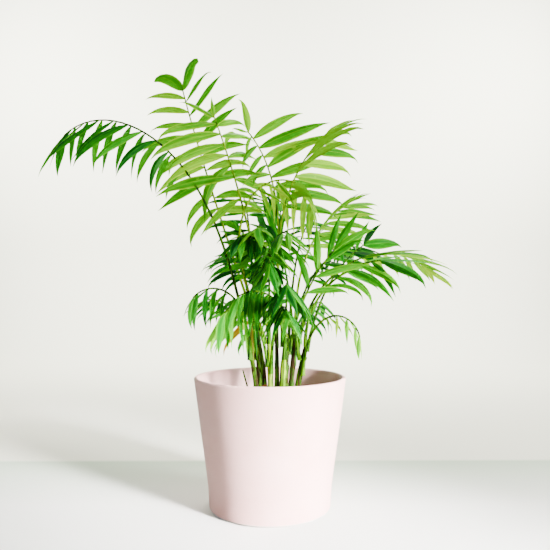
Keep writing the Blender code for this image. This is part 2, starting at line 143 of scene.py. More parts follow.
def finish_stage():
    """Matt paint: the table pales towards the front as painted light and darkens towards its back as painted
    shade, and the wall starts past the table's far edge.
    """
    finish, tree, shader = new_finish("painted_wall_and_table")
    place = add_node(tree, "TexCoord").outputs["Object"]
    depth = add_node(tree, "SeparateXYZ", {0: place}).outputs["Y"]
    reach = add_node(tree, "MapRange", {"Value": depth},
                     values={"From Min": TABLE_FRONT, "From Max": TABLE_BACK})
    # Painted light and shade: near white at the table's front, darker grey-green at its back
    table = add_ramp(tree, reach.outputs["Result"], [(0.0, TABLE_LIT_FRONT), (1.0, TABLE_SHADED_BACK)])
    behind = add_node(tree, "MapRange", {"Value": depth},
                      values={"From Min": TABLE_BACK, "From Max": TABLE_BACK + TABLE_EDGE})
    whole = mix_colors(tree, behind.outputs["Result"], table, WALL_PAINT)
    tree.links.new(whole, shader.inputs["Base Color"])
    shader.inputs["Roughness"].default_value = 0.9
    return finish


def make_stage():
    """The floor's line, bent up into the wall and drawn out sideways."""
    bm = bmesh.new()
    bend = WALL_Y - SWEEP_RADIUS
    floor_line = [bm.verts.new((0, FLOOR_FRONT, 0)), bm.verts.new((0, bend, 0))]
    bm.edges.new(floor_line)
    bmesh.ops.spin(bm, geom=floor_line[1:], cent=(0, bend, SWEEP_RADIUS), axis=(1, 0, 0),
                   angle=math.pi / 2, steps=SWEEP_STEPS)
    last = max(bm.verts, key=lambda vert: vert.co.y + vert.co.z)
    bm.edges.new((last, bm.verts.new((0, WALL_Y, WALL_TOP))))
    whole = bmesh.ops.extrude_edge_only(bm, edges=bm.edges[:])
    moved = [item for item in whole["geom"] if isinstance(item, bmesh.types.BMVert)]
    bmesh.ops.translate(bm, verts=moved, vec=(2 * STAGE_HALF_WIDTH, 0, 0))
    bmesh.ops.translate(bm, verts=bm.verts, vec=(-STAGE_HALF_WIDTH, 0, 0))
    wide = [edge for edge in bm.edges if abs(edge.verts[0].co.x - edge.verts[1].co.x) > STAGE_HALF_WIDTH]
    bmesh.ops.subdivide_edges(bm, edges=wide, cuts=STAGE_CUTS)
    for face in bm.faces:
        face.normal_update()
        if face.normal.z - face.normal.y < 0:
            face.normal_flip()
    return bm


def object_of(name, bm, finishes, sharp=40):
    """A piece from a bmesh, with its materials, shaded smooth except at edges sharper than an angle."""
    mesh = bpy.data.meshes.new(name)
    bm.to_mesh(mesh)
    bm.free()
    for finish in finishes:
        mesh.materials.append(finish)
    mesh.shade_smooth()
    mesh.set_sharp_from_angle(angle=math.radians(sharp))
    piece = bpy.data.objects.new(name, mesh)
    bpy.context.scene.collection.objects.link(piece)
    return piece


stage = object_of("stage", make_stage(), [finish_stage()])
stage.visible_glossy = False


def area_light(name, place, target, size, power, color, beam=180):
    """A round lamp that faces a target, with its light kept within a beam angle."""
    lamp = bpy.data.objects.new(name, bpy.data.lights.new(name, "AREA"))
    lamp.data.shape = "DISK"
    lamp.data.size = size
    lamp.data.energy = power
    lamp.data.color = color
    lamp.data.spread = math.radians(beam)
    lamp.location = place
    lamp.rotation_euler = (Vector(target) - Vector(place)).to_track_quat("-Z", "Y").to_euler()
    bpy.context.scene.collection.objects.link(lamp)


area_light("window_light", place=(1.25, -0.35, 0.95), target=(0, 0, 0.15), size=0.40, power=40,
           color=(1.0, 0.985, 0.94))
area_light("back_light", place=(0.25, 1.05, 1.35), target=(0, 0, 0.3), size=0.7, power=14,
           color=(1.0, 0.98, 0.90))
area_light("pot_light", place=(0.82, -0.78, 0.36), target=(0, -0.05, 0.015), size=0.36, power=5,
           color=(1.0, 0.96, 0.95), beam=17)
for side in (-1, 1):
    area_light("wall_light", place=(1.5 * side, 0.75, 1.3), target=(0, WALL_Y, 0.85), size=0.8, power=64,
               color=(1.0, 0.99, 0.92), beam=110)
sky = bpy.data.worlds.new("soft_room")
sky.use_nodes = True
sky.node_tree.nodes["Background"].inputs["Color"].default_value = (0.98, 0.99, 1.0, 1)
sky.node_tree.nodes["Background"].inputs["Strength"].default_value = 0.30
bpy.context.scene.world = sky


# Pot
# A thin-walled slip-cast pot of pale pink matte ceramic: a short upright foot band, then a wall
# that widens evenly to a rounded rim. It stands on a bare foot ring.
POT_HEIGHT = 0.140
RIM_RADIUS = 0.0825
FOOT_RADIUS = 0.0655
HIP_RADIUS = 0.0672
HIP_HEIGHT = 0.027
WALL = 0.0045
FLOOR = 0.006
FOOT_ROUND = 0.003
RECESS = 0.0014
RECESS_RADIUS = 0.052
RING_RADIUS = 0.0545
BAND_BULGE = 0.0006
BAND_MIDDLE = 0.012
HIP_EASE = 0.0004
HIP_BELOW = 0.003
HIP_ABOVE = 0.006
FLOOR_ROUND = 0.002
FOOT_STEPS = 6
LIP_STEPS = 10
POT_STEPS = 144
SAME_POINT = 1e-6
GLAZE_DEEP = (0.79, 0.46, 0.42)
GLAZE_PALE = (0.83, 0.52, 0.49)
BARE_CLAY = (0.80, 0.74, 0.69)
BARE_HEIGHT = 0.0016
BARE_FADE = 0.001


def arc(center, radius, start, end, steps):
    """Points of an outline's round stretch, from one angle to another."""
    angles = [math.radians(start + (end - start) * step / steps) for step in range(steps + 1)]
    return [(center[0] + radius * math.cos(a), center[1] + radius * math.sin(a)) for a in angles]


def finish_pot():
    """A faintly clouded and pitted matt glaze that stops just above the foot."""
    finish, tree, shader = new_finish("pale_pink_glaze")
    place = add_node(tree, "TexCoord").outputs["Object"]
    cloud = add_node(tree, "TexNoise", {"Vector": place},
                     values={"Scale": 26, "Detail": 5, "Roughness": 0.6})
    speck = add_node(tree, "TexNoise", {"Vector": place}, values={"Scale": 620, "Detail": 2})
    glaze = add_ramp(tree, cloud.outputs["Fac"], [(0.3, GLAZE_DEEP), (0.7, GLAZE_PALE)])
    height = add_node(tree, "SeparateXYZ", {0: place}).outputs["Z"]
    bare = add_node(tree, "MapRange", {"Value": height},
                    values={"From Min": BARE_HEIGHT + BARE_FADE, "From Max": BARE_HEIGHT})
    skin = mix_colors(tree, bare.outputs["Result"], glaze, BARE_CLAY)
    tree.links.new(skin, shader.inputs["Base Color"])
    rough = add_node(tree, "MapRange", {"Value": cloud.outputs["Fac"]},
                     values={"To Min": 0.42, "To Max": 0.56})
    tree.links.new(rough.outputs["Result"], shader.inputs["Roughness"])
    wave = add_bump(tree, None, cloud.outputs["Fac"], strength=0.25, distance=0.0012)
    add_bump(tree, shader, speck.outputs["Fac"], strength=0.18, distance=0.00025, below=wave)
    shader.inputs["Specular IOR Level"].default_value = 0.42
    return finish


def make_pot():
    """One outline from the underside's middle round the rim to the floor's middle, spun full circle."""
    lip = WALL / 2
    outline = [(0.0, RECESS), (RECESS_RADIUS, RECESS), (RING_RADIUS, 0.0)]
    outline += arc((FOOT_RADIUS - FOOT_ROUND, FOOT_ROUND), FOOT_ROUND, -90, 0, FOOT_STEPS)
    outline.append((FOOT_RADIUS + BAND_BULGE, BAND_MIDDLE))
    outline.append((HIP_RADIUS - HIP_EASE, HIP_HEIGHT - HIP_BELOW))
    outline.append((HIP_RADIUS + HIP_EASE / 4, HIP_HEIGHT))
    outline.append((HIP_RADIUS + 2 * HIP_EASE, HIP_HEIGHT + HIP_ABOVE))
    outline += arc((RIM_RADIUS - lip, POT_HEIGHT - lip), lip, 0, 180, LIP_STEPS)
    outline.append((HIP_RADIUS - WALL + BAND_BULGE, HIP_HEIGHT))
    outline.append((FOOT_RADIUS - WALL, FLOOR + FLOOR_ROUND))
    outline.append((0.0, FLOOR))
    bm = bmesh.new()
    verts = [bm.verts.new((radius, 0, height)) for radius, height in outline]
    edges = [bm.edges.new(pair) for pair in zip(verts, verts[1:])]
    bmesh.ops.spin(bm, geom=verts + edges, cent=(0, 0, 0), axis=(0, 0, 1), dvec=(0, 0, 0),
                   angle=2 * math.pi, steps=POT_STEPS, use_merge=True)
    bmesh.ops.remove_doubles(bm, verts=bm.verts, dist=SAME_POINT)
    bmesh.ops.recalc_face_normals(bm, faces=bm.faces)
    return bm


pot = object_of("pot_body", make_pot(), [finish_pot()])
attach(pot, "root")
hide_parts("pot")


# Soil
# Dark peat potting soil, pressed in by hand: an uneven top with crumbs, bark chips and white
# grains lying on it. It fills the pot to a little below the rim.
SOIL_TOP = 0.117
SOIL_RINGS = 26
SOIL_STEPS = 96
SOIL_DEPTH = 0.010
SOIL_CLEAR = 0.0009
SOIL_UNDERCUT = 0.0015
SOIL_RELIEF = 0.0016
SOIL_SETTLED = 0.0004
COARSE_LUMPS = 60
FINE_LUMPS = 190
CRUMBS = 420
CHIPS = 60
GRAINS = 26
LUMP_CLEAR = 0.004
LUMP_UNEVEN = (0.75, 1.15)
LUMP_TURN = (0, 6.3)
LUMP_RISE = 0.25
soil_chance = random.Random(11)


def inner_radius(height):
    """Radius of the pot's inner wall at a height above its hip."""
    outer = HIP_RADIUS + (RIM_RADIUS - HIP_RADIUS) * (height - HIP_HEIGHT) / (POT_HEIGHT - HIP_HEIGHT)
    return outer - WALL


def soil_height(x, y):
    """The pressed soil's height: broad lumps with finer ones of half their height on them."""
    coarse = noise.noise(Vector((x * COARSE_LUMPS, y * COARSE_LUMPS, 0.3)))
    fine = noise.noise(Vector((x * FINE_LUMPS, y * FINE_LUMPS, 4.1)))
    return SOIL_TOP - SOIL_SETTLED + SOIL_RELIEF * (coarse + 0.5 * fine)


def finish_soil(name, dark, light, scale):
    """Dry, crumbly and dull, between a dark and a light tone."""
    finish, tree, shader = new_finish(name)
    place = add_node(tree, "TexCoord").outputs["Object"]
    coarse = add_node(tree, "TexNoise", {"Vector": place},
                      values={"Scale": scale, "Detail": 6, "Roughness": 0.7})
    fine = add_node(tree, "TexVoronoi", {"Vector": place}, values={"Scale": scale * 3})
    color = add_ramp(tree, coarse.outputs["Fac"], [(0.35, dark), (0.68, light)])
    tree.links.new(color, shader.inputs["Base Color"])
    shader.inputs["Roughness"].default_value = 0.95
    crumbs = add_bump(tree, None, fine.outputs["Distance"], strength=0.6, distance=0.0008)
    add_bump(tree, shader, coarse.outputs["Fac"], strength=0.5, distance=0.001, below=crumbs)
    return finish


def make_soil():
    """The soil's uneven top, with its rim turned down inside the pot."""
    radius = inner_radius(SOIL_TOP) - SOIL_CLEAR
    bm = bmesh.new()
    verts = [bm.verts.new((radius * ring / SOIL_RINGS, 0, SOIL_TOP)) for ring in range(SOIL_RINGS + 1)]
    verts.append(bm.verts.new((radius - SOIL_UNDERCUT, 0, SOIL_TOP - SOIL_DEPTH)))
    verts.append(bm.verts.new((0, 0, SOIL_TOP - SOIL_DEPTH)))
    edges = [bm.edges.new(pair) for pair in zip(verts, verts[1:])]
    bmesh.ops.spin(bm, geom=verts + edges, cent=(0, 0, 0), axis=(0, 0, 1), dvec=(0, 0, 0),
                   angle=2 * math.pi, steps=SOIL_STEPS, use_merge=True)
    bmesh.ops.remove_doubles(bm, verts=bm.verts, dist=SAME_POINT)
    for vert in bm.verts:
        if vert.co.z > SOIL_TOP - SOIL_DEPTH / 2:
            vert.co.z = soil_height(vert.co.x, vert.co.y)
    bmesh.ops.recalc_face_normals(bm, faces=bm.faces)
    return bm


def scatter(bm, count, sizes, stretch, kind):
    """Small uneven lumps pressed into the soil's top, all of one material."""
    for _ in range(count):
        reach = (inner_radius(SOIL_TOP) - LUMP_CLEAR) * math.sqrt(soil_chance.random())
        turn = soil_chance.uniform(0, 2 * math.pi)
        x, y = reach * math.cos(turn), reach * math.sin(turn)
        size = soil_chance.uniform(*sizes)
        lump = bmesh.ops.create_icosphere(bm, subdivisions=1, radius=size)["verts"]
        for vert in lump:
            vert.co *= soil_chance.uniform(*LUMP_UNEVEN)
        bmesh.ops.scale(bm, verts=lump, vec=stretch)
        bmesh.ops.rotate(bm, verts=lump, matrix=Matrix.Rotation(soil_chance.uniform(*LUMP_TURN), 3, "Z"))
        bmesh.ops.translate(bm, verts=lump, vec=(x, y, soil_height(x, y) + LUMP_RISE * size * stretch[2]))
        for face in {face for vert in lump for face in vert.link_faces}:
            face.material_index = kind


soil_mesh = make_soil()
scatter(soil_mesh, CRUMBS, sizes=(0.0006, 0.0017), stretch=(1.0, 1.0, 0.8), kind=0)
scatter(soil_mesh, CHIPS, sizes=(0.0012, 0.0028), stretch=(1.6, 0.7, 0.4), kind=1)
scatter(soil_mesh, GRAINS, sizes=(0.0006, 0.0013), stretch=(1.0, 1.0, 0.9), kind=2)
bmesh.ops.recalc_face_normals(soil_mesh, faces=soil_mesh.faces)
soil_finishes = [
    finish_soil("peat_soil", dark=(0.018, 0.011, 0.007), light=(0.060, 0.038, 0.024), scale=260),
    finish_soil("bark_chip", dark=(0.060, 0.030, 0.015), light=(0.150, 0.085, 0.045), scale=420),
    finish_soil("white_grain", dark=(0.50, 0.48, 0.43), light=(0.70, 0.68, 0.62), scale=500),
]
soil = object_of("soil_top", soil_mesh, soil_finishes, sharp=50)
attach(soil, "root")
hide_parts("soil")


# Canes
# Nine short green canes, ringed where old leaves came off and wrapped in the green bases of older
# leaves, some with a dry brown one at the foot. They stand close together in the middle of the soil.
GAP = 0.0003
CANE_TIP_SHARE = 0.66
CANE_FLARE = 1.28
FLARE_SHARE = 0.25
CANE_DRIFT = 0.4
CANE_SLIM = 0.82  # slimmer than the solid, because leaf bases wrap it
CANE_SIDES = 20
CANE_STEPS = 46
NODE_EVERY = 0.013
FIRST_NODE = (0.3, 0.9)
NODE_SWELL = 0.03
NODE_HALF = 0.0011
SHEATH_SIDES = 16
SHEATH_STEPS = 7
SHEATH_CLEAR = 0.0002
SHEATH_FLARE = 0.0003
SHEATH_SKIN = 0.0002
SHEATH_SLANT = 0.35
TEAR = 0.0006
TEARS = 5
DRY_START = 0.02
DRY_LENGTHS = (0.010, 0.016)
LOW_STARTS = (0.24, 0.38)
LOW_LENGTHS = (0.016, 0.024)
TOP_STARTS = (0.60, 0.68)
TOP_SHARE = 0.30
cane_chance = random.Random(23)

# Each cane: x and y of its foot, the way it leans, how far, its height and its foot's radius
CANES = {
    "cane_1": (-0.014, -0.012, 200, 9, 0.060, 0.0036),
    "cane_2": (-0.005, 0.010, 170, 8, 0.075, 0.0036),
    "cane_3": (0.001, -0.014, 230, 3, 0.070, 0.0038),
    "cane_4": (0.008, 0.014, 100, 4, 0.085, 0.0033),
    "cane_5": (0.013, -0.010, 330, 4, 0.065, 0.0042),
    "cane_6": (0.023, 0.008, 20, 5, 0.070, 0.0036),
    "cane_7": (0.029, -0.008, 350, 10, 0.055, 0.0040),
    "cane_8": (-0.011, 0.028, 140, 8, 0.065, 0.0036),
    "cane_9": (0.018, 0.027, 70, 8, 0.060, 0.0036),
}

CANE_TONES = {
    "cane_1": "green", "cane_2": "green", "cane_3": "bright", "cane_4": "dark", "cane_5": "bright",
    "cane_6": "dark", "cane_7": "green", "cane_8": "green", "cane_9": "green",
}
DRY_AT_FOOT = ("cane_2", "cane_4", "cane_7", "cane_9")


def cane_center(name, share):
    """The middle of a cane at a share of its height: it starts upright and leans out evenly."""
    x, y, heading, lean, height, _ = CANES[name]
    foot = Vector((x, y, SOIL_TOP + GAP))
    drift = height * math.sin(math.radians(lean)) * share * (CANE_DRIFT + (1 - CANE_DRIFT) * share)
    turn = math.radians(heading)
    return foot + Vector((drift * math.cos(turn), drift * math.sin(turn), height * share))


def cane_radius(name, share):
    """Slight flare at the foot, then an even taper to the tip."""
    flare = 1 + (CANE_FLARE - 1) * max(0.0, 1 - share / FLARE_SHARE)
    return CANES[name][5] * flare * (1 - (1 - CANE_TIP_SHARE) * share)


def loft(bm, centers, radii, sides, kind=0, cap=True, front=Vector((1, 0, 0))):
    """A tube through circles that stand square to its line."""
    rings = []
    for index, center in enumerate(centers):
        before, after = centers[max(index - 1, 0)], centers[min(index + 1, len(centers) - 1)]
        along = (after - before).normalized()
        over = along.cross(front).normalized()
        side = over.cross(along)
        turn = Matrix((side, over, along)).transposed().to_4x4()
        ring = bmesh.ops.create_circle(bm, segments=sides, radius=radii[index],
                                       matrix=Matrix.Translation(center) @ turn)["verts"]
        rings.append(list(dict.fromkeys(edge for vert in ring for edge in vert.link_edges)))
    made = []
    for lower, upper in zip(rings, rings[1:]):
        made += bmesh.ops.bridge_loops(bm, edges=lower + upper)["faces"]
    if cap:
        made += bmesh.ops.holes_fill(bm, edges=rings[0] + rings[-1], sides=0)["faces"]
    for face in made:
        face.material_index = kind
    return made


def finish_stem(name, seam, low, high, scarred):
    """Fibrous skin with seams along its length and marks of the seams' tone above a noise level."""
    finish, tree, shader = new_finish(name)
    place = add_node(tree, "TexCoord").outputs["Object"]
    long = add_node(tree, "Mapping", {"Vector": place}, values={"Scale": (1.0, 1.0, 0.05)})
    streak = add_node(tree, "TexNoise", {"Vector": long.outputs[0]}, values={"Scale": 520, "Detail": 4})
    tall = add_node(tree, "Mapping", {"Vector": place}, values={"Scale": (1.0, 1.0, 0.22)})
    patch = add_node(tree, "TexNoise", {"Vector": tall.outputs[0]},
                     values={"Scale": 260, "Detail": 4, "Roughness": 0.65})
    skin = add_ramp(tree, streak.outputs["Fac"], [(0.40, seam), (0.47, low), (0.60, high)])
    marks = add_node(tree, "MapRange", {"Value": patch.outputs["Fac"]},
                     values={"From Min": scarred, "From Max": scarred + 0.05})
    tree.links.new(mix_colors(tree, marks.outputs["Result"], skin, seam), shader.inputs["Base Color"])
    rough = add_node(tree, "MapRange", {"Value": patch.outputs["Fac"]},
                     values={"To Min": 0.45, "To Max": 0.7})
    tree.links.new(rough.outputs["Result"], shader.inputs["Roughness"])
    add_bump(tree, shader, streak.outputs["Fac"], strength=0.45, distance=0.0006)
    shader.inputs["Specular IOR Level"].default_value = 0.05
    return finish


BROWN_SEAM = (0.020, 0.011, 0.003)
GREEN_SEAM = (0.006, 0.022, 0.002)
CANE_FINISHES = {
    "green": finish_stem("green_cane", BROWN_SEAM, (0.012, 0.05, 0.001), (0.055, 0.15, 0.001), 0.55),
    "bright": finish_stem("bright_cane", GREEN_SEAM, (0.06, 0.17, 0.0), (0.26, 0.42, 0.0), 0.60),
    "dark": finish_stem("dark_cane", BROWN_SEAM, (0.006, 0.03, 0.001), (0.028, 0.09, 0.001), 0.53),
}
DRY_SHEATH = finish_stem("dry_sheath", BROWN_SEAM, (0.06, 0.03, 0.008), (0.16, 0.085, 0.022), 0.60)


def add_sheath(bm, name, start, length, kind):
    """An old leaf base that wraps the cane and ends in a torn, slanting edge."""
    climb = length / CANES[name][4]
    shares = [min(start + climb * step / SHEATH_STEPS, 1.0) for step in range(SHEATH_STEPS + 1)]
    centers = [cane_center(name, share) for share in shares]
    radii = [CANE_SLIM * cane_radius(name, share) + SHEATH_CLEAR + SHEATH_FLARE * step / SHEATH_STEPS
             for step, share in enumerate(shares)]
    before = set(bm.verts)
    faces = loft(bm, centers, radii, SHEATH_SIDES, kind, cap=False)
    turn = cane_chance.uniform(0, 2 * math.pi)
    foot, top = centers[0], centers[-1]
    for vert in set(bm.verts) - before:
        level = (vert.co - foot).dot(top - foot) / (top - foot).length_squared
        side = math.atan2(vert.co.y - foot.y, vert.co.x - foot.x) - turn
        slant = SHEATH_SLANT * (1 + math.cos(side))
        vert.co.z -= length * level * slant + TEAR * level * math.sin(TEARS * side)
    skin = bmesh.ops.solidify(bm, geom=faces, thickness=SHEATH_SKIN)["geom"]
    for item in skin:
        if isinstance(item, bmesh.types.BMFace):
            item.material_index = kind


def make_cane(name):
    """A cane with its leaf rings, and the leaf bases that still wrap it at two or three heights."""
    height = CANES[name][4]
    rings = [step / CANE_STEPS for step in range(CANE_STEPS + 1)]
    first = cane_chance.uniform(*FIRST_NODE) * NODE_EVERY
    radii = []
    for share in rings:
        climb = (share * height - first) / NODE_EVERY
        near = abs(climb - round(climb)) * NODE_EVERY
        swell = NODE_SWELL * math.exp(-(near / NODE_HALF) ** 2) if round(climb) >= 0 else 0.0
        radii.append(CANE_SLIM * cane_radius(name, share) * (1 + swell))
    bm = bmesh.new()
    loft(bm, [cane_center(name, share) for share in rings], radii, CANE_SIDES)
    bmesh.ops.recalc_face_normals(bm, faces=bm.faces)
    if name in DRY_AT_FOOT:
        add_sheath(bm, name, DRY_START, cane_chance.uniform(*DRY_LENGTHS), 1)
    add_sheath(bm, name, cane_chance.uniform(*LOW_STARTS), cane_chance.uniform(*LOW_LENGTHS), 0)
    add_sheath(bm, name, cane_chance.uniform(*TOP_STARTS), TOP_SHARE * height, 0)
    for vert in bm.verts:
        vert.co.z = max(vert.co.z, SOIL_TOP + GAP)
    return bm


for cane_name in CANES:
    skins = [CANE_FINISHES[CANE_TONES[cane_name]], DRY_SHEATH]
    cane = object_of(cane_name + "_skin", make_cane(cane_name), skins, sharp=55)
    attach(cane, "root")
    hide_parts(cane_name)


# Dry stalk
# The dead, dried-up stalk of an old leaf, brittle and dark. It is rooted in the soil beside the
# first cane and leans out.
STALK_PLACE = (-0.0205, -0.0125)
STALK_HEADING = 195
STALK_LEAN = 16
STALK_LENGTH = 0.032
STALK_RADIUS = 0.0011
STALK_STEPS = 12
STALK_SIDES = 10
STALK_TAPER = 0.5
STALK_KNOBS = 0.06
KNOB_RATE = 19


def heading_vector(heading, tilt):
    """The way that leans from upright by a tilt, towards a heading, both in degrees."""
    turn, lean = math.radians(heading), math.radians(tilt)
    across = math.sin(lean)
    return Vector((across * math.cos(turn), across * math.sin(turn), math.cos(lean)))


def make_stalk():
    """A knobbly tapering tube with a flat foot."""
    foot = Vector((*STALK_PLACE, SOIL_TOP + GAP))
    along = heading_vector(STALK_HEADING, STALK_LEAN)
    shares = [step / STALK_STEPS for step in range(STALK_STEPS + 1)]
    radii = []
    for share in shares:
        knobs = 1 + STALK_KNOBS * math.sin(KNOB_RATE * share)
        radii.append(STALK_RADIUS * (1 - STALK_TAPER * share ** 2) * knobs)
    bm = bmesh.new()
    loft(bm, [foot + along * STALK_LENGTH * share for share in shares], radii, STALK_SIDES)
    bmesh.ops.recalc_face_normals(bm, faces=bm.faces)
    for vert in bm.verts:
        if vert.co.z < foot.z + STALK_RADIUS:
            vert.co.z = foot.z
    return bm


stalk = object_of("dead_stalk", make_stalk(), [CANE_FINISHES["dark"]])
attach(stalk, "root")
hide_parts("dry_stub")


# Fronds
# Each frond is a thin arching rib with a row of narrow leaflets down each side and two at its end,
# all one soft green leaf. It grows out of its cane, and every leaflet is folded along its middle,
# bends down and ends in a thin curled tip. The rule and its values are those of the solids.
RIB_FOOT = 0.0017
RIB_TIP = 0.0007
RIB_TAPER = 0.7
RIB_RINGS = 9
STEPS_PER_RING = 4
SEAT_SHARE = 0.9
FOOT_SHARE = 0.7
FIRST_LEVEL = 0.4
STAGGER = 0.12
BLADE_SHARE = 0.97
END_PLACE = 0.992
END_SPREAD = 0.42
END_DROOP = 0.6
SPREAD_STRAY = 7.0
SHORT_SHARE = 0.72
FULLEST = 0.9
SIZES = (0.86, 1.08)
DROOP_LOW = 1.3
DROOP_FALL = 0.6
DROOPS = (0.6, 1.4)
TWIST = 20.0
STRAIGHT = 0.001
PLUMB = 0.05
TRIES = 14
STRAY_STEP = 3.0
BEND_STRAY = 1.5
PATIENCE = 5
SHRINK = 0.3
SAME_PLACE = 0.0002


@dataclass
class Frond:
    """One frond as it is grown: where it starts, how its rib runs and how its leaflets are set.

    Lengths are in metres and angles in degrees. The share is the height on its cane.
    """

    cane: str
    share: float
    heading: float
    lean: float
    arch: float
    power: float
    stalk: float
    blade: float
    pairs: int
    leaf: float
    sweep: float = 0.0
    roll: float = 0.0
    spread: float = 58.0
    lift: float = 8.0
    droop: float = 35.0
    slim: float = 0.13
    tip: float = 0.8
    fan: float = 18.0
    uneven: float = 0.0
    end: float = 1.3
    green: str = "deep"


# Each frond: its cane and share, heading, lean, arch and power, stalk, blade, pairs and leaf length
FRONDS = {
    "tall_left": Frond("cane_2", 1.00, 167, 19, -4, 2.3, 0.133, 0.156, 9, 0.072,
        sweep=4, roll=-100, spread=71, lift=6, droop=38, slim=0.17, tip=0.60, fan=30, uneven=-0.02,
        end=2.00, green="lime"),
    "tall_front": Frond("cane_3", 1.00, -183, 9, 12, 1.2, 0.142, 0.103, 8, 0.083,
        sweep=-10, roll=-43, spread=82, lift=-13, droop=45, slim=0.15, tip=0.46, fan=11, uneven=0.14,
        green="lime"),
    "far_left": Frond("cane_1", 1.00, -151, 14, 105, 2.4, 0.195, 0.175, 9, 0.071,
        sweep=-59, roll=4, lift=-49, droop=43, slim=0.17, fan=24, uneven=0.05),
    "high_right": Frond("cane_5", 1.00, -10, -10, 61, 1.6, 0.138, 0.110, 6, 0.087,
        sweep=45, roll=145, spread=53, lift=37, droop=21, slim=0.17, tip=0.49, fan=26, uneven=-0.09,
        green="lime"),
    "crown": Frond("cane_4", 1.00, -163, -3, 44, 2.7, 0.145, 0.075, 6, 0.067,
        sweep=-14, roll=-75, spread=86, lift=15, droop=28, slim=0.18, tip=0.46, fan=-6, uneven=-0.34,
        green="lime"),
    "over": Frond("cane_3", 0.85, 39, -24, 194, 2.6, 0.171, 0.085, 7, 0.058,
        sweep=-21, roll=-8, spread=61, lift=-43, tip=0.60, fan=23, uneven=0.09, green="lime"),
    "dark_fan": Frond("cane_6", 0.85, 102, 18, 51, 1.9, 0.103, 0.077, 3, 0.062,
        sweep=10, roll=73, spread=56, lift=14, droop=23, slim=0.27, tip=0.90, fan=-3, uneven=-0.01),
    "comb": Frond("cane_6", 1.00, 27, -2, 65, 1.3, 0.097, 0.077, 9, 0.058,
        sweep=5, roll=112, spread=37, lift=43, droop=25, slim=0.11, tip=0.74, fan=20, uneven=-0.16,
        green="lime"),
    "mid_right": Frond("cane_7", 1.00, 1, -3, 92, 1.0, 0.068, 0.071, 5, 0.067,
        sweep=-41, roll=35, spread=39, lift=-18, droop=42, slim=0.14, tip=0.90, fan=-5, uneven=-0.08,
        green="fresh"),
    "far_right": Frond("cane_6", 0.70, -6, 8, 117, 1.3, 0.128, 0.089, 7, 0.056,
        sweep=24, roll=-32, spread=37, lift=-29, droop=21, slim=0.12, tip=0.58, fan=30, uneven=-0.24,
        green="fresh"),
    "young_right": Frond("cane_7", 0.90, 40, 14, 45, 1.2, 0.100, 0.050, 2, 0.057,
        sweep=-13, roll=88, spread=53, lift=10, droop=21, slim=0.21, fan=11, uneven=-0.20),
    "low_right": Frond("cane_7", 0.45, -44, 6, 160, 1.8, 0.070, 0.056, 4, 0.030,
        spread=50, lift=-40, slim=0.15, green="fresh"),
    "front_right": Frond("cane_7", 0.75, -136, 12, 106, 1.6, 0.060, 0.070, 6, 0.056,
        spread=56, lift=-40, droop=45, slim=0.15, green="fresh"),
    "low_left": Frond("cane_1", 0.70, -121, 5, 132, 2.0, 0.066, 0.058, 5, 0.041,
        sweep=-31, roll=-20, spread=63, lift=-38, droop=56, slim=0.16, tip=0.70, fan=28, uneven=0.17),
    "front_left": Frond("cane_3", 0.50, -121, 14, 100, 1.5, 0.048, 0.066, 6, 0.056,
        spread=60, lift=-58, droop=40, slim=0.19, green="fresh"),
    "front_middle": Frond("cane_5", 0.85, -128, 0, 104, 2.2, 0.082, 0.072, 6, 0.046,
        spread=60, lift=-50, droop=40, slim=0.20),
    "front_high": Frond("cane_4", 0.80, -104, 4, 96, 2.0, 0.080, 0.074, 7, 0.056,
        lift=-35, droop=42, slim=0.20, green="fresh"),
    "front_near": Frond("cane_5", 0.65, -84, 10, 96, 1.5, 0.066, 0.066, 6, 0.056,
        sweep=-10, lift=-38, droop=45, slim=0.19),
    "front_center": Frond("cane_3", 0.85, -90, 6, 112, 2.0, 0.054, 0.076, 6, 0.052,
        spread=60, lift=-46, droop=42, slim=0.20),
    "front_low": Frond("cane_3", 0.40, -80, 12, 100, 1.5, 0.066, 0.060, 6, 0.046,
        lift=-42, droop=45, slim=0.19),
    "front_fill_left": Frond("cane_1", 0.85, -62, 5, 92, 1.9, 0.088, 0.078, 6, 0.054,
        sweep=-6, lift=-40, droop=42, green="fresh"),
    "heart": Frond("cane_4", 0.60, 84, 4, 30, 1.6, 0.085, 0.085, 5, 0.058,
        roll=70, spread=50, lift=5, droop=30, slim=0.24),
    "back_high": Frond("cane_8", 1.00, 100, 8, 66, 1.5, 0.125, 0.115, 7, 0.062,
        spread=60, lift=-5, droop=40, slim=0.16),
    "back_middle": Frond("cane_9", 0.85, 74, 10, 76, 1.4, 0.115, 0.120, 7, 0.062,
        spread=60, lift=-10, droop=42, slim=0.16),
    "back_left": Frond("cane_8", 0.80, 116, 10, 88, 1.4, 0.080, 0.100, 7, 0.056,
        sweep=-6, spread=56, lift=-20, droop=45, slim=0.16),
    "back_right": Frond("cane_9", 0.70, 38, 8, 80, 1.4, 0.090, 0.100, 7, 0.056,
        lift=-20, droop=42, slim=0.15),
    "back_low": Frond("cane_9", 0.50, 105, 14, 104, 1.4, 0.065, 0.090, 6, 0.052,
        lift=-30, droop=45, slim=0.16),
    "back_low_left": Frond("cane_8", 0.55, 150, 8, 92, 1.4, 0.050, 0.062, 6, 0.044,
        lift=-35, droop=45, slim=0.16),
    "back_low_right": Frond("cane_6", 0.45, 62, 12, 92, 1.4, 0.055, 0.066, 6, 0.044,
        lift=-35, droop=45, slim=0.16),
    "left_side": Frond("cane_2", 0.75, -120, 0, 44, 2.0, 0.074, 0.058, 5, 0.042,
        roll=-10, lift=-45, droop=45, slim=0.20),
    "rise_right": Frond("cane_5", 0.78, -14, 12, 30, 1.4, 0.060, 0.060, 3, 0.062,
        roll=78, spread=34, lift=0, droop=18, slim=0.17, green="fresh"),
}


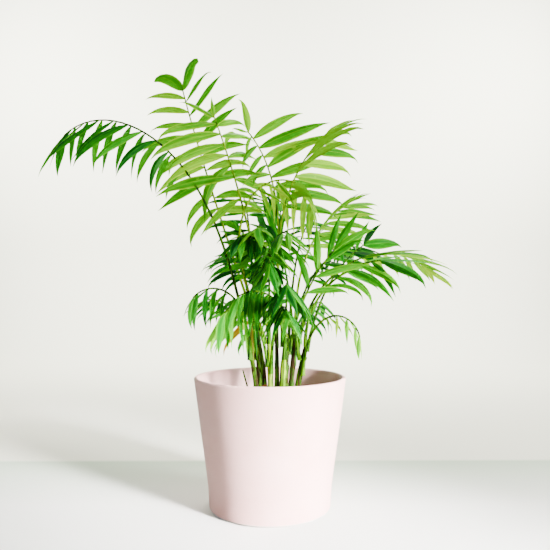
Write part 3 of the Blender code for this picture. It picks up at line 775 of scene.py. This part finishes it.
class Rib:
    """The curved midrib of one frond, from where the solid of it stands."""

    def __init__(self, name, frond):
        self.frond = frond
        self.length = frond.stalk + frond.blade
        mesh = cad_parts["frond_" + name].data
        places = np.empty(3 * len(mesh.vertices))
        mesh.vertices.foreach_get("co", places)
        self.corners = np.unique(places.reshape(-1, 3).round(6), axis=0)
        self.root = self.find_root()
        fine = STEPS_PER_RING * RIB_RINGS
        self.line = [self.root]
        for step in range(fine):
            self.line.append(self.line[-1] + self.direction((step + 0.5) / fine) * self.length / fine)
        self.points = self.line[::STEPS_PER_RING]

    def find_root(self):
        """The middle of the solid's foot, whose four corners lie nearest to the cane's place for it."""
        cane, share = self.frond.cane, self.frond.share
        seat = cane_center(cane, share)
        if share < 1.0:
            side = heading_vector(self.frond.heading + (180 if self.frond.lean < 0 else 0), 90)
            seat += side * (SEAT_SHARE * cane_radius(cane, share) + FOOT_SHARE * RIB_FOOT + GAP)
        away = np.linalg.norm(self.corners - np.array(seat), axis=1)
        return Vector(self.corners[np.argsort(away)[:4]].mean(axis=0))

    def direction(self, share):
        """The rib's way at a share of its length."""
        frond = self.frond
        bend = frond.arch * share ** frond.power
        return heading_vector(frond.heading + frond.sweep * share, frond.lean + bend)

    def on(self, points, share):
        """The place at a share of a line of points."""
        place = min(max(share, 0.0), 1.0) * (len(points) - 1)
        index = min(int(place), len(points) - 2)
        return points[index].lerp(points[index + 1], place - index)

    def side(self, share):
        """The way out to the frond's left, with the blade rolled about the rib."""
        turn = math.radians(self.frond.heading + self.frond.sweep * share)
        flat = Vector((-math.sin(turn), math.cos(turn), 0))
        return Matrix.Rotation(math.radians(self.frond.roll), 3, self.direction(share)) @ flat

    def has_corner(self, place):
        """Whether the solid has a corner at a place."""
        return np.abs(self.corners - np.array(place)).max(axis=1).min() < SAME_PLACE


class Leaflet:
    """One leaflet's place: it leaves the rib at its own angle and bends down in an even arc.

    Its root is on the solid's rib of straight stretches, and its foot on the smooth rib.
    """

    def __init__(self, rib, share, side_sign, spread, length, droop, twist):
        frond = rib.frond
        slim = frond.slim * (frond.end if share == END_PLACE else 1.0)
        along = rib.direction(share)
        self.upper = along.cross(rib.side(share))
        lift, angle = math.radians(frond.lift), math.radians(spread)
        outward = rib.side(share) * side_sign * math.cos(lift) + self.upper * math.sin(lift)
        self.root = rib.on(rib.points, share)
        self.foot = rib.on(rib.line, share)
        self.way = (along * math.cos(angle) + outward * math.sin(angle)).normalized()
        self.plan = (share, side_sign, spread, length, droop)
        self.length = length
        self.droop = math.radians(droop)
        self.half = length * slim / 2
        width_way = (along - along.dot(self.way) * self.way).normalized()
        self.width_way = Matrix.Rotation(math.radians(twist), 3, self.way) @ width_way
        axis = self.way.cross(Vector((0, 0, -1)))
        self.axis = axis.normalized() if axis.length > PLUMB else self.width_way

    def tip(self):
        """Where the solid's leaflet ends."""
        bend = self.droop
        down = self.axis.cross(self.way)
        if abs(bend) < STRAIGHT:
            return self.root + self.way * self.length
        reach = self.length / bend
        return self.root + reach * (math.sin(bend) * self.way + (1 - math.cos(bend)) * down)


def leaf_plan(rib, chance):
    """Every leaflet of a blade: share along the rib, side, spread, length and droop."""
    frond = rib.frond
    start = frond.stalk / rib.length
    plan = []
    for index in range(frond.pairs):
        level = (index + FIRST_LEVEL) / frond.pairs
        fullness = SHORT_SHARE + (1 - SHORT_SHARE) * math.sin(math.pi * level ** FULLEST)
        for side_sign in (-1, 1):
            place = start + (1 - start) * (level + side_sign * STAGGER / frond.pairs) * BLADE_SHARE
            stray = chance.uniform(-SPREAD_STRAY, SPREAD_STRAY)
            spread = frond.spread + frond.fan * (1 - 2 * level) + stray
            size = frond.leaf * fullness * chance.uniform(*SIZES) * (1 + side_sign * frond.uneven)
            droop = frond.droop * (DROOP_LOW - DROOP_FALL * level) * chance.uniform(*DROOPS)
            plan.append((place, side_sign, spread, size, droop))
    for side_sign in (-1, 1):
        size = frond.leaf * frond.tip * (1 + side_sign * frond.uneven)
        plan.append((END_PLACE, side_sign, frond.spread * END_SPREAD, size, frond.droop * END_DROOP))
    return plan


def grown_leaves(rib, chance):
    """The leaflets that the solid has: the rule's tries, each kept where the solid has its tip."""
    leaves = []
    for place, side_sign, spread, size, droop in leaf_plan(rib, chance):
        for attempt in range(TRIES):
            stray = STRAY_STEP * attempt
            angle = spread + chance.uniform(-stray, stray)
            bend = droop + chance.uniform(-stray, stray) * BEND_STRAY
            twist = chance.uniform(-TWIST, TWIST) + chance.uniform(-stray, stray)
            length = size * (1 - SHRINK * max(0, attempt - PATIENCE) / TRIES)
            leaflet = Leaflet(rib, place, side_sign, angle, length, bend, twist)
            if rib.has_corner(leaflet.tip()):
                leaves.append(leaflet)
                break
        else:
            leaves.append(None)
    return leaves


# The imported middle, where a shorter leaflet hangs between each two of a side, in its frond's darkest tone
# as painted shade
CROWDED = (
    "front_middle", "front_high", "front_near", "front_center", "front_fill_left", "front_right", "heart",
    "left_side", "back_left", "back_right", "back_low",
)
BETWEEN_SIZE = 0.82
BETWEEN_DROOP = (2, 20)
BETWEEN_STRAY = 10


def between_leaves(rib, leaves, chance):
    """One more leaflet between each two neighbours of a side, inside the reach of both."""
    made = []
    for first, second in zip(leaves[:-4], leaves[2:-2]):
        if first is None or second is None:
            continue
        share, side_sign, spread, length, droop = [(a + b) / 2 for a, b in zip(first.plan, second.plan)]
        angle = spread + chance.uniform(-BETWEEN_STRAY, BETWEEN_STRAY)
        twist = chance.uniform(-2 * TWIST, 2 * TWIST)
        bend = droop + chance.uniform(*BETWEEN_DROOP)
        made.append(Leaflet(rib, share, side_sign, angle, BETWEEN_SIZE * length, bend, twist))
    return made


# One leaflet's blade, in rings of eight sides: a third of a millimetre thick, thin at its two margins
RINGS = (0.0, 0.05, 0.13, 0.24, 0.38, 0.52, 0.66, 0.79, 0.90, 1.0)
WIDTHS = (0.16, 0.36, 0.64, 0.88, 1.0, 0.95, 0.77, 0.50, 0.22, 0.02)
ROUND_WIDTHS = (0.16, 0.40, 0.68, 0.88, 1.0, 1.02, 0.96, 0.82, 0.56, 0.12)
BLADE_SIDES = 8
BLADE_THICK = 0.00034
BLADE_SHARP = 26
EDGE_POWER = 1.35
THICK_POWER = 0.6
THIN_END = 3
UNDER_MAP = 2.0  # the undersides' part of the leaf map starts here
MAP_STEP = 7.0  # each leaflet reads its own stretch of the leaf map
FOLD = math.radians(30)
FOLD_FADE = 0.5
BLADE_SLIM = 0.90
# Fronds with broader or slimmer leaflets than the rest
WIDER = {"far_right": 1.45, "comb": 1.15, "low_right": 1.2, "far_left": 0.85, "high_right": 0.88}
BROAD_END = 1.5
BLADE_TWIST = 28
TWIST_POWER = 1.5
RUFFLE = 0.10
RUFFLES = 1.6
CURLS = (-18, 60)
CURL_START = 0.7
BROAD_CURLS = (75, 100)
BROAD_CURL_START = 0.4


def make_blade():
    """The unit blade's mesh: along from 0 to 1, across from -1 to 1, and 1 above or -1 below."""
    bm = bmesh.new()
    ring = bmesh.ops.create_circle(bm, segments=BLADE_SIDES, radius=1.0)["verts"]
    edges = list(dict.fromkeys(edge for vert in ring for edge in vert.link_edges))
    upright = Matrix(((1, 0, 0, 0), (0, 0, 1, 0), (0, 1, 0, 0), (0, 0, 0, 1)))
    bmesh.ops.transform(bm, matrix=upright, verts=ring)
    foot_edges = edges
    for start, end in zip(RINGS, RINGS[1:]):
        grown = bmesh.ops.extrude_edge_only(bm, edges=edges)["geom"]
        verts = [item for item in grown if isinstance(item, bmesh.types.BMVert)]
        edges = [item for item in grown if isinstance(item, bmesh.types.BMEdge)]
        bmesh.ops.translate(bm, verts=verts, vec=(0, end - start, 0))
    bmesh.ops.holes_fill(bm, edges=foot_edges + edges, sides=0)
    bmesh.ops.recalc_face_normals(bm, faces=bm.faces)
    for vert in bm.verts:
        across, side = round(vert.co.x, 6), round(vert.co.z, 6)
        vert.co.x = math.copysign(abs(across) ** EDGE_POWER, across)
        vert.co.z = math.copysign(abs(side) ** THICK_POWER, side)
    leaf_map = bm.loops.layers.uv.new("leaf_map")
    for face in bm.faces:
        level = UNDER_MAP if round(face.calc_center_median().z, 3) < 0 else 0.0
        for loop in face.loops:
            loop[leaf_map].uv = (loop.vert.co.y, level + 0.5 + 0.5 * loop.vert.co.x)
    blade = bpy.data.meshes.new("leaf_blade")
    bm.to_mesh(blade)
    bm.free()
    return blade


BLADE = make_blade()
BLADE_ACROSS, BLADE_ALONG, BLADE_SIDE = np.array([vert.co for vert in BLADE.vertices]).T
BLADE_RING = np.abs(BLADE_ALONG[:, None] - np.array(RINGS)).argmin(axis=1)


def turned_about(axis, vectors, angles):
    """Each vector turned about one axis by its own angle."""
    axis = np.array(axis)
    cos, sin = np.cos(angles)[:, None], np.sin(angles)[:, None]
    return vectors * cos + np.cross(axis, vectors) * sin + axis * (vectors @ axis)[:, None] * (1 - cos)


def lay_blade(leaflet, chance, wider, broad):
    """Places of the unit blade's corners, laid along one leaflet's arc."""
    widths, curls, start = WIDTHS, CURLS, CURL_START
    if broad:
        widths, curls, start = ROUND_WIDTHS, BROAD_CURLS, BROAD_CURL_START
    rings, widths = np.array(RINGS), np.array(widths)
    curl = math.radians(chance.uniform(*curls))
    angles = leaflet.droop * rings + curl * np.clip((rings - start) / (1 - start), 0, 1) ** 2
    ways = turned_about(leaflet.axis, np.tile(np.array(leaflet.way), (len(rings), 1)), angles)
    steps = np.diff(rings)[:, None] * leaflet.length * (ways[1:] + ways[:-1]) / 2
    centers = np.array(leaflet.foot) + np.vstack([np.zeros(3), np.cumsum(steps, axis=0)])
    across = turned_about(leaflet.axis, np.tile(np.array(leaflet.width_way), (len(rings), 1)), angles)
    twist = math.radians(chance.uniform(-BLADE_TWIST, BLADE_TWIST)) * rings ** TWIST_POWER
    across = across * np.cos(twist)[:, None] + np.cross(ways, across) * np.sin(twist)[:, None]
    ridge = np.cross(across, ways)
    if ridge[0] @ np.array(leaflet.upper) < 0:
        ridge = -ridge
    half = BLADE_SLIM * wider * leaflet.half * widths
    wave = chance.uniform(0, 2 * math.pi)
    ruffle = RUFFLE * np.sin(2 * math.pi * RUFFLES * rings + wave)
    fold = math.tan(FOLD) * (1 - FOLD_FADE * rings)
    ring, reach = BLADE_RING, BLADE_ACROSS
    rise = (reach * ruffle[ring] - np.abs(reach) * fold[ring]) * half[ring]
    rise += BLADE_SIDE * BLADE_THICK / 2 * np.minimum(1, THIN_END * widths[ring])
    return centers[ring] + across[ring] * (reach * half[ring])[:, None] + ridge[ring] * rise[:, None]


# The leaf skin and its tones. Each tone has its face, its streaks, its margin and the light through it
LEAF_SHINE = 0.08
LEAF_GLOSS = (0.32, 0.52)
LEAF_GLOW = 0.35
LEAF_TONES = {
    "lime_bright": ((0.17, 0.48, 0.0), (0.38, 0.72, 0.0), (0.74, 0.95, 0.0), (0.55, 0.92, 0.0)),
    "lime": ((0.050, 0.29, 0.0), (0.20, 0.54, 0.0), (0.64, 0.90, 0.0), (0.37, 0.86, 0.0)),
    "lime_green": ((0.022, 0.18, 0.002), (0.09, 0.39, 0.003), (0.46, 0.80, 0.003), (0.20, 0.72, 0.001)),
    "fresh_light": ((0.028, 0.29, 0.003), (0.13, 0.54, 0.006), (0.42, 0.86, 0.008), (0.21, 0.86, 0.003)),
    "fresh": ((0.007, 0.18, 0.005), (0.042, 0.37, 0.009), (0.19, 0.65, 0.011), (0.08, 0.66, 0.006)),
    "fresh_dark": ((0.003, 0.095, 0.005), (0.017, 0.22, 0.009), (0.08, 0.46, 0.013), (0.028, 0.46, 0.007)),
    "deep_light": ((0.005, 0.155, 0.008), (0.030, 0.35, 0.013), (0.16, 0.61, 0.018), (0.055, 0.60, 0.012)),
    "deep": ((0.001, 0.076, 0.005), (0.008, 0.19, 0.009), (0.055, 0.41, 0.012), (0.018, 0.40, 0.009)),
    "deep_dark": ((0.0006, 0.034, 0.003), (0.004, 0.095, 0.006), (0.030, 0.24, 0.009), (0.005, 0.22, 0.006)),
    "yellowed": ((0.62, 0.42, 0.006), (0.80, 0.56, 0.01), (0.45, 0.25, 0.02), (0.90, 0.64, 0.02)),
    "browning": ((0.12, 0.12, 0.006), (0.25, 0.22, 0.01), (0.10, 0.06, 0.012), (0.30, 0.26, 0.01)),
}


def finish_leaf(name, face, streak, rim, glow):
    """A leaf skin: lengthwise streaks, a lighter margin and middle vein, a paler underside, and glow."""
    finish, tree, shader = new_finish(name)
    leaf_map = add_node(tree, "UVMap", uv_map="leaf_map").outputs["UV"]
    parts = add_node(tree, "SeparateXYZ", {0: leaf_map})
    below = add_node(tree, "Math", {0: parts.outputs["Y"]}, operation="GREATER_THAN",
                     values={1: UNDER_MAP / 2})
    long = add_node(tree, "Mapping", {"Vector": leaf_map}, values={"Scale": (1.3, 6.5, 1.0)})
    streaks = add_node(tree, "TexNoise", {"Vector": long.outputs[0]},
                       values={"Scale": 1.0, "Detail": 3, "Roughness": 0.6})
    broad = add_node(tree, "Mapping", {"Vector": leaf_map},
                     values={"Scale": (1.6, 2.2, 1.0), "Location": (4, 3, 0)})
    patches = add_node(tree, "TexNoise", {"Vector": broad.outputs[0]}, values={"Scale": 1.0, "Detail": 2})
    both = add_node(tree, "Math", {0: streaks.outputs["Fac"], 1: patches.outputs["Fac"]}, operation="ADD")
    half = add_node(tree, "Math", {0: both.outputs[0]}, operation="MULTIPLY", values={1: 0.5})
    skin = add_ramp(tree, half.outputs[0], [(0.455, face), (0.545, streak)])
    middle = add_node(tree, "Math", {0: parts.outputs["Y"]}, operation="PINGPONG", values={1: 0.5})
    margin = add_node(tree, "MapRange", {"Value": middle.outputs[0]},
                      values={"From Min": 0.20, "From Max": 0.02, "To Max": 0.9})
    edged = mix_colors(tree, margin.outputs["Result"], skin, rim)
    vein = add_node(tree, "MapRange", {"Value": middle.outputs[0]},
                    values={"From Min": 0.455, "From Max": 0.495, "To Max": 0.5})
    lined = mix_colors(tree, vein.outputs["Result"], edged, rim)
    underside = tuple(0.5 * (shade + light) for shade, light in zip(streak, rim))
    whole = mix_colors(tree, below.outputs[0], lined, underside)
    tree.links.new(whole, shader.inputs["Base Color"])
    rough = add_node(tree, "MapRange", {"Value": patches.outputs["Fac"]},
                     values={"To Min": LEAF_GLOSS[0], "To Max": LEAF_GLOSS[1]})
    tree.links.new(rough.outputs["Result"], shader.inputs["Roughness"])
    veins = add_node(tree, "Mapping", {"Vector": leaf_map}, values={"Scale": (0.4, 26.0, 1.0)})
    ridges = add_node(tree, "TexNoise", {"Vector": veins.outputs[0]}, values={"Scale": 1.0, "Detail": 2})
    relief = add_bump(tree, shader, ridges.outputs["Fac"], strength=0.35, distance=0.0006)
    shader.inputs["Specular IOR Level"].default_value = LEAF_SHINE
    passed = add_node(tree, "BsdfTranslucent", values={"Color": (*glow, 1)})
    tree.links.new(relief, passed.inputs["Normal"])
    mixed = add_node(tree, "MixShader", values={"Fac": LEAF_GLOW})
    tree.links.new(shader.outputs["BSDF"], mixed.inputs[1])
    tree.links.new(passed.outputs["BSDF"], mixed.inputs[2])
    tree.links.new(mixed.outputs[0], tree.nodes["Material Output"].inputs["Surface"])
    return finish


LEAF_FINISHES = {tone: finish_leaf(tone + "_leaf", *colors) for tone, colors in LEAF_TONES.items()}

# Tones dealt to a frond's leaflets with their weights, the darkest first
MIXES = {
    "lime": (("lime_green", 3), ("lime", 5), ("lime_bright", 2)),
    # Painted light: a brighter copy of the lime mix for the fronds on the window's side
    "sunlit_painted": (("lime_green", 3), ("lime", 4), ("lime_bright", 4)),
    "fresh": (("fresh_dark", 2), ("fresh", 4), ("fresh_light", 4)),
    "side": (("deep", 2), ("fresh_dark", 4), ("fresh", 3)),
    "deep": (("deep_dark", 3), ("deep", 3), ("deep_light", 3), ("fresh", 3)),
}
# The right-hand fronds take the painted sunlit mix, with more of the brightest lime, as painted light
MIX_OF = {
    "far_left": "side", "comb": "sunlit_painted", "far_right": "sunlit_painted", "low_right": "sunlit_painted", "mid_right": "fresh",
    "low_left": "side", "left_side": "side",
}

# The rib, in its frond's green, widens into a short sheath at its foot
RIB_SLIM = 1.12
RIB_SHEATH = 0.45
SHEATH_LENGTH = 0.018
FOOT_RING = 0.35
RIB_SIDES = 9
LIME_SEAM = (0.05, 0.15, 0.0)
RIB_FINISHES = {
    "lime": finish_stem("lime_rib", LIME_SEAM, (0.11, 0.28, 0.0), (0.30, 0.50, 0.0), 0.70),
    "fresh": finish_stem("fresh_rib", GREEN_SEAM, (0.025, 0.12, 0.0), (0.10, 0.28, 0.0), 0.66),
    "deep": finish_stem("deep_rib", GREEN_SEAM, (0.012, 0.07, 0.001), (0.05, 0.18, 0.001), 0.66),
}


def make_rib(rib):
    """The rib as a smooth tapering tube."""
    shares = [step / (len(rib.line) - 1) for step in range(len(rib.line))]
    shares.insert(1, FOOT_RING * shares[1])
    radii = []
    for share in shares:
        taper = RIB_FOOT + (RIB_TIP - RIB_FOOT) * share ** RIB_TAPER
        radii.append(taper * (RIB_SLIM + RIB_SHEATH * math.exp(-share * rib.length / SHEATH_LENGTH)))
    bm = bmesh.new()
    loft(bm, [rib.on(rib.line, share) for share in shares], radii, RIB_SIDES, front=rib.side(0.5))
    bmesh.ops.recalc_face_normals(bm, faces=bm.faces)
    return bm


def add_blade(bm, leaf_map, places, kind, number):
    """A copy of the unit blade with its corners at the given places."""
    first_vert, first_face = len(bm.verts), len(bm.faces)
    bm.from_mesh(BLADE)
    bm.verts.ensure_lookup_table()
    bm.faces.ensure_lookup_table()
    for vert, place in zip(bm.verts[first_vert:], places):
        vert.co = place
    for face in bm.faces[first_face:]:
        face.material_index = kind
        for loop in face.loops:
            loop[leaf_map].uv.x += MAP_STEP * number


# Leaflets that are damaged, by their number in the frond
DAMAGED = {
    "front_left": {2: "yellowed", 3: "browning"},
    "low_left": {8: "browning"},
}
GROWTH_SEED = 40  # the solids grow from the same one
TONE_SEED = 900


def make_frond(name, frond, number):
    """A rib with its leaflets' blades on it, each in a tone dealt from the frond's mix, and the in-between
    ones in its darkest tone as painted shade.
    """
    rib = Rib(name, frond)
    leaves = grown_leaves(rib, random.Random(GROWTH_SEED + number))
    dealt = random.Random(TONE_SEED + number)
    more = between_leaves(rib, leaves, dealt) if name in CROWDED else []
    tones, weights = zip(*MIXES[MIX_OF.get(name, frond.green)])
    damaged = DAMAGED.get(name, {})
    skins = [*tones, *damaged.values()]
    bm = make_rib(rib)
    leaf_map = bm.loops.layers.uv.new("leaf_map")
    for index, leaflet in enumerate(leaves + more):
        if leaflet is None:
            continue
        tone = dealt.choices(tones, weights)[0]
        # Painted shade: the in-between leaflets take the frond's darkest tone, to darken the crowded middle
        if index >= len(leaves):
            tone = tones[0]
        tone = damaged.get(index, tone)
        broad = 2 * frond.pairs <= index < len(leaves) and frond.end > BROAD_END
        places = lay_blade(leaflet, dealt, WIDER.get(name, 1.0), broad)
        add_blade(bm, leaf_map, places, 1 + skins.index(tone), index)
    finishes = [RIB_FINISHES[frond.green]] + [LEAF_FINISHES[tone] for tone in skins]
    return object_of("frond_" + name + "_leaves", bm, finishes, sharp=BLADE_SHARP)


for number, (frond_name, frond) in enumerate(FRONDS.items()):
    piece = make_frond(frond_name, frond, number)
    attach(piece, "root")
    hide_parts("frond_" + frond_name)
